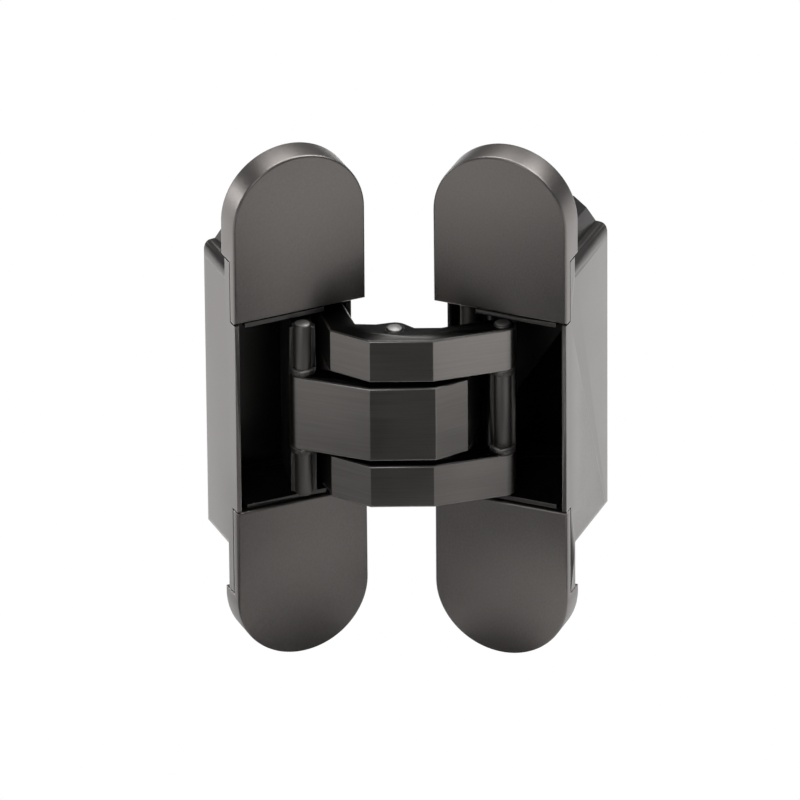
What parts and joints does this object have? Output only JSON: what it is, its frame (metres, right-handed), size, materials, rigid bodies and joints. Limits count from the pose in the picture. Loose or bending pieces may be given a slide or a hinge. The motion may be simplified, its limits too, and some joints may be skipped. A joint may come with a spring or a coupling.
{
  "type": "concealed door hinge",
  "caption": "Concealed door hinge: round-ended cast leaves joined by crossing arms on pins, which fold into pockets in the leaves as the door shuts.",
  "frame": {"origin": "centre of the frame leaf's flat back", "axes": "+Z along the pins and the leaves' length, +Y from the frame leaf's face out through its back, +X towards the door leaf"},
  "size_m": [0.065, 0.0378, 0.095],
  "materials": {
    "cast_satin": "satin grey-bronze plated casting",
    "cast_side": "paler satin casting",
    "arm_satin": "brushed grey-bronze steel",
    "bright_steel": "bright turned steel",
    "dark_steel": "blackened steel",
    "black_polymer": "matt"
  },
  "bodies": {
    "frame_leaf": {"frame_body": "cast_side", "frame_cover_top": "cast_satin", "frame_cover_bottom": "cast_satin", "frame_pin_block_top": "dark_steel", "frame_pin_block_bottom": "dark_steel", "frame_clamp_screw_top": "bright_steel", "frame_clamp_screw_bottom": "bright_steel", "frame_adjusting_screw_top": "bright_steel", "frame_adjusting_screw_bottom": "bright_steel", "frame_arm_pin": "bright_steel", "frame_rocker_pin": "bright_steel"},
    "outer_arms": {"upper_arm": "arm_satin", "lower_arm": "arm_satin", "upper_centre_bush": "black_polymer", "lower_centre_bush": "black_polymer", "centre_pin": "bright_steel"},
    "middle_link": {"middle_arm": "arm_satin", "middle_centre_bush": "black_polymer"},
    "door_leaf": {"door_body": "cast_side", "door_cover_top": "cast_satin", "door_cover_bottom": "cast_satin", "door_pin_block_top": "dark_steel", "door_pin_block_bottom": "dark_steel", "door_clamp_screw_top": "bright_steel", "door_clamp_screw_bottom": "bright_steel", "door_adjusting_screw_top": "bright_steel", "door_adjusting_screw_bottom": "bright_steel", "door_arm_pin": "bright_steel", "door_rocker_pin": "bright_steel"},
    "frame_rocker_link": {"frame_rocker": "dark_steel", "frame_front_pin": "bright_steel", "frame_washer_upper": "bright_steel", "frame_washer_lower": "bright_steel"},
    "door_rocker_link": {"door_rocker": "dark_steel", "door_front_pin": "bright_steel", "door_washer_upper": "bright_steel", "door_washer_lower": "bright_steel"}
  },
  "joints": [
    {"name": "outer_arms_swing", "type": "hinge", "parent": "frame_leaf", "child": "outer_arms", "pos_m": [0.00738, -0.008, 0], "axis": [0, 0, 1], "range_deg": [-72.44, 24.23]},
    {"name": "centre_pivot", "type": "hinge", "parent": "outer_arms", "child": "middle_link", "pos_m": [0.01359, -0.02368, 0], "axis": [0, 0, 1], "range_deg": [-7.83, 23.37]},
    {"name": "door_swing", "type": "hinge", "parent": "middle_link", "child": "door_leaf", "pos_m": [0.02951, -0.01822, 0], "axis": [0, 0, 1], "range_deg": [-85.81, 28.71]},
    {"name": "frame_rocker_pivot", "type": "hinge", "parent": "middle_link", "child": "frame_rocker_link", "pos_m": [0.00001, -0.01575, 0], "axis": [0, 0, 1], "range_deg": [-30.51, 10.21]},
    {"name": "door_rocker_pivot", "type": "hinge", "parent": "outer_arms", "child": "door_rocker_link", "pos_m": [0.03081, -0.02946, 0], "axis": [0, 0, 1], "range_deg": [-8, 23.9]}
  ],
  "couplings": [
    {"joint": "centre_pivot", "follows": "outer_arms_swing", "ratio": -0.32247},
    {"joint": "door_swing", "follows": "outer_arms_swing", "ratio": 1.1843},
    {"joint": "frame_rocker_pivot", "follows": "outer_arms_swing", "ratio": 0.42096},
    {"joint": "door_rocker_pivot", "follows": "outer_arms_swing", "ratio": -0.32973}
  ]
}
